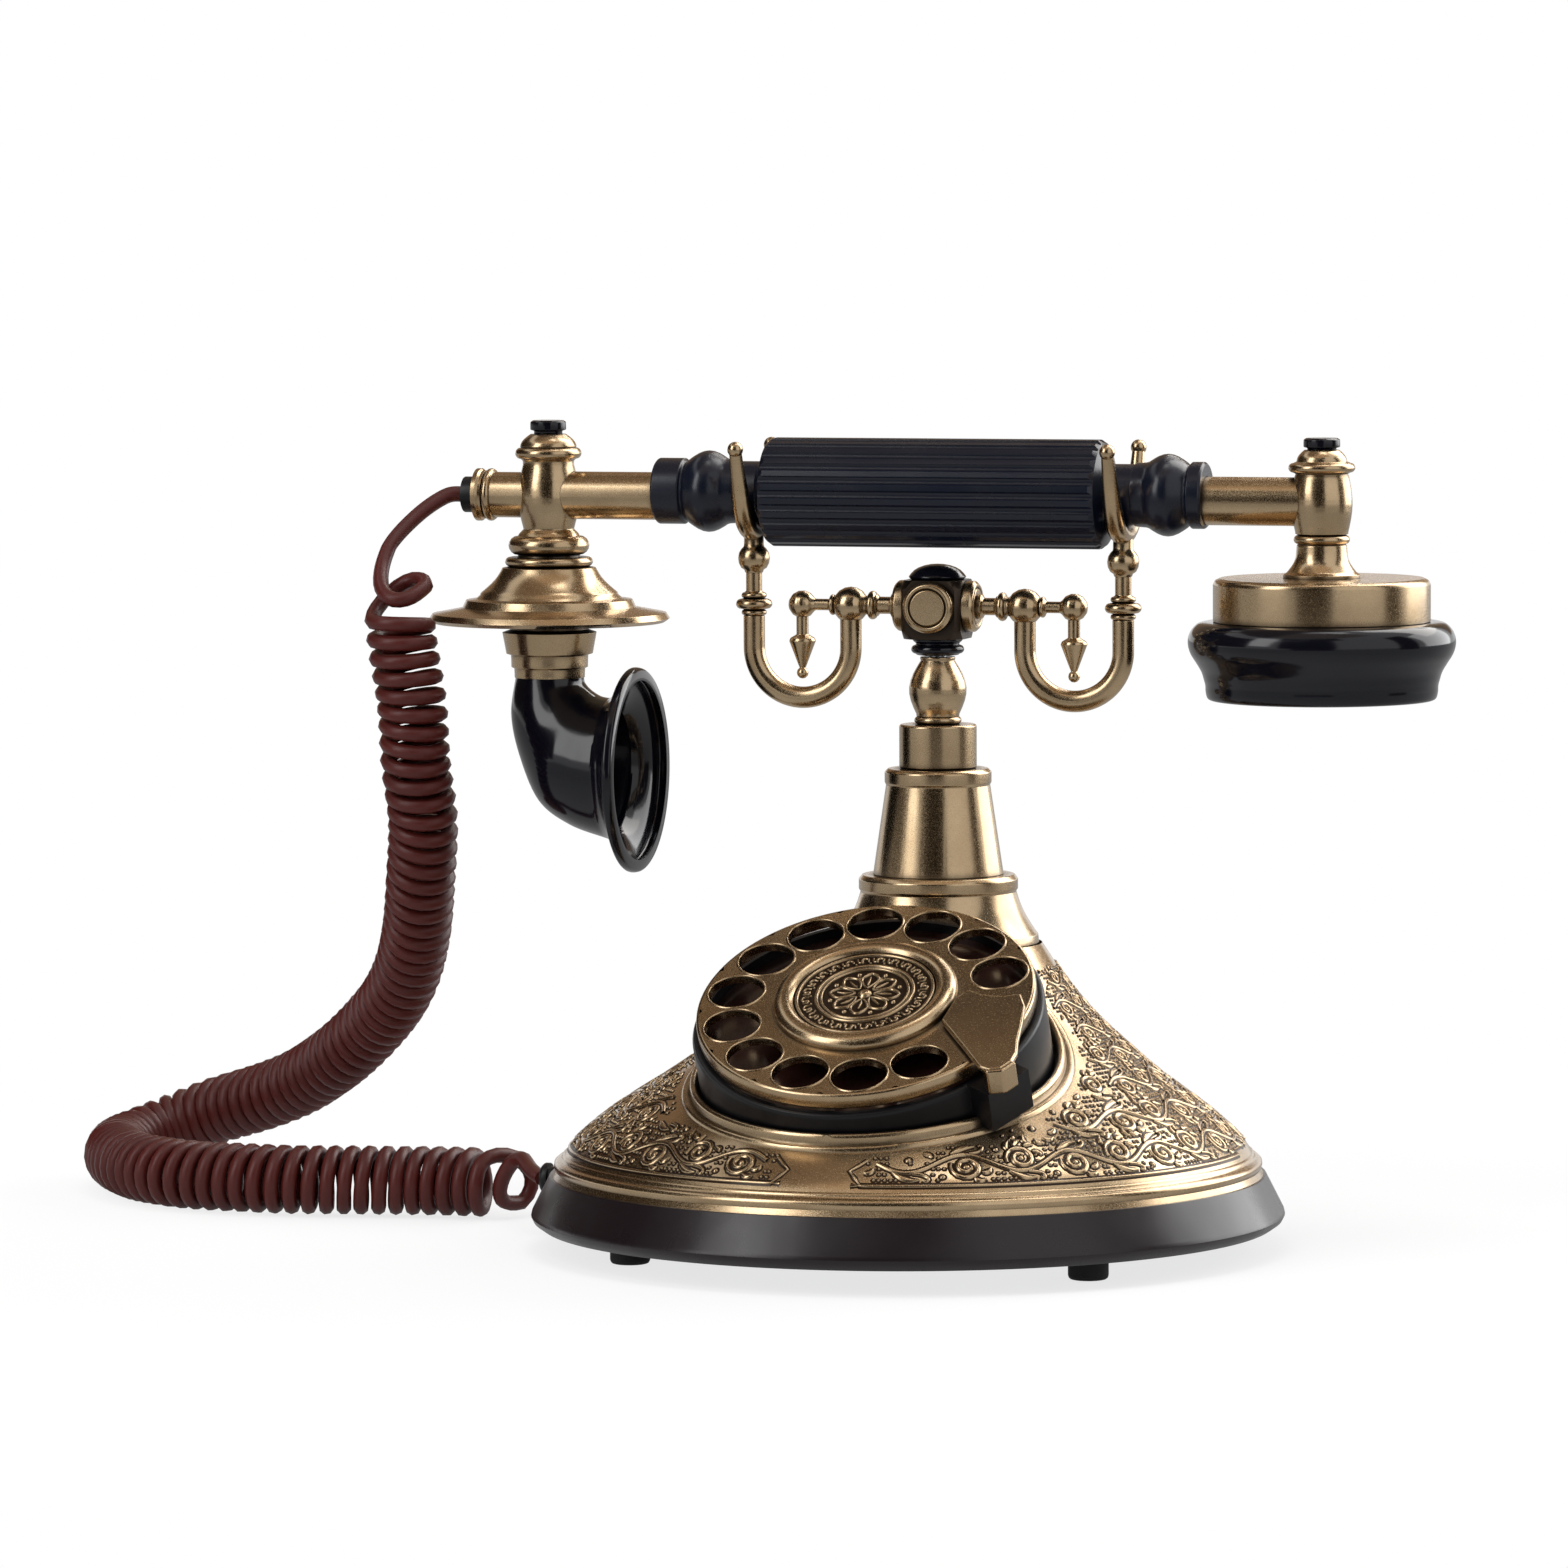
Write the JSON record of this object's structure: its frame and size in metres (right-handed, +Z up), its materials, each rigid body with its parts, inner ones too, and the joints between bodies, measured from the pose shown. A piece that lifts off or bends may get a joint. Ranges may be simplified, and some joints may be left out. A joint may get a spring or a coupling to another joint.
{
  "type": "rotary telephone",
  "caption": "Antique style table telephone: bell-shaped brass base with a tilted dial, turned column, fork cradle, fluted handset with a curved mouthpiece, and a curly cord.",
  "frame": {"origin": "on the table under the middle of the telephone's box, measured without the handset cord", "axes": "+X along the handset from mouthpiece to earpiece, +Y to the rear, +Z up; the dial faces -Y"},
  "size_m": [0.418, 0.2185, 0.2265],
  "materials": {
    "antique_brass": "antiqued and lacquered, satin",
    "dark_bronze": "oxidised dark, satin",
    "rim_lacquer": "brown-black satin lacquer",
    "black_gloss": "polished",
    "black_satin": "moulded, satin",
    "navy_satin": "moulded, semi-gloss",
    "foot_rubber": "moulded",
    "zinc_steel": "zinc plated",
    "ringer_copper": "enamelled copper wire",
    "board_laminate": "glass laminate",
    "cord_vinyl": "moulded vinyl, satin"
  },
  "bodies": {
    "base": {"base_shell": "antique_brass", "base_rim": "rim_lacquer", "bottom_plate": "zinc_steel", "rubber_feet": "foot_rubber", "base_screws": "zinc_steel", "ballast_weight": "zinc_steel", "line_jack": "black_satin", "cord_bush": "black_satin", "circuit_board": "board_laminate", "ringer_gongs": "antique_brass", "ringer_coil": "ringer_copper", "hook_switch": "black_satin", "hook_spring": "zinc_steel", "dial_housing": "black_satin", "number_plate": "black_satin", "finger_stop": "antique_brass", "dial_bearing": "antique_brass", "governor_cup": "antique_brass", "return_spring": "zinc_steel", "column_collar": "antique_brass", "column_cone": "antique_brass", "column_drum": "antique_brass", "column_vase": "antique_brass", "column_tube": "zinc_steel", "column_nut": "zinc_steel", "cord_coil": "cord_vinyl", "cord_lead_base": "cord_vinyl"},
    "dial_rotor": {"finger_wheel": "antique_brass", "hub_ring": "antique_brass", "dial_shaft": "zinc_steel", "dial_gear": "antique_brass"},
    "governor": {"governor_pinion": "zinc_steel"},
    "cradle": {"cross_block": "dark_bronze", "block_dome": "black_gloss", "block_bosses": "antique_brass", "cradle_flange": "black_gloss", "cradle_arms": "antique_brass", "pendants": "antique_brass", "hook_left": "antique_brass", "hook_right": "antique_brass", "fork_left": "antique_brass", "fork_right": "antique_brass", "plunger_rod": "zinc_steel"},
    "switch_arm": {"switch_lever": "zinc_steel"},
    "ringer_hammer": {"ringer_clapper": "zinc_steel"},
    "handset": {"grip": "navy_satin", "ferrule_left": "navy_satin", "ferrule_right": "navy_satin", "handset_tubes": "antique_brass", "mouth_fitting": "antique_brass", "mouth_flange": "antique_brass", "mouth_horn": "black_gloss", "microphone_capsule": "zinc_steel", "ear_fitting": "antique_brass", "ear_drum": "antique_brass", "ear_cup": "black_gloss", "receiver_capsule": "zinc_steel", "finial_knobs": "black_gloss", "cord_gland": "black_satin", "cord_lead_top": "cord_vinyl"}
  },
  "joints": [
    {"name": "handset_lift", "type": "slide", "parent": "base", "child": "handset", "axis": [0, 0, 1], "range_m": [0, 0.06]},
    {"name": "cradle_rise", "type": "slide", "parent": "base", "child": "cradle", "axis": [0, 0, 1], "range_m": [0, 0.004], "deforming": ["hook_spring"]},
    {"name": "switch_lever_tilt", "type": "hinge", "parent": "base", "child": "switch_arm", "pos_m": [0.0156, 0.033, 0.0477], "axis": [0, 1, 0], "range_deg": [0, 12]},
    {"name": "dial_turn", "type": "hinge", "parent": "base", "child": "dial_rotor", "pos_m": [0.0006, -0.0417, 0.0723], "axis": [0, -0.4733, 0.8809], "range_deg": [-320, 0], "stiffness_Nm_per_rad": 0.003, "springref_deg": 68.75},
    {"name": "governor_spin", "type": "hinge", "parent": "base", "child": "governor", "pos_m": [0.02475, -0.0417, 0.0723], "axis": [0, -0.4733, 0.8809], "range_deg": [0, 1280]},
    {"name": "clapper_swing", "type": "hinge", "parent": "base", "child": "ringer_hammer", "pos_m": [0.0586, 0.028, 0.029], "axis": [0, 0, 1], "range_deg": [-4, 4], "stiffness_Nm_per_rad": 0.002}
  ],
  "couplings": [
    {"joint": "cradle_rise", "follows": "handset_lift", "ratio": 0.0666},
    {"joint": "switch_lever_tilt", "follows": "handset_lift", "rad_per_m": 3.48},
    {"joint": "governor_spin", "follows": "dial_turn", "ratio": -4}
  ]
}
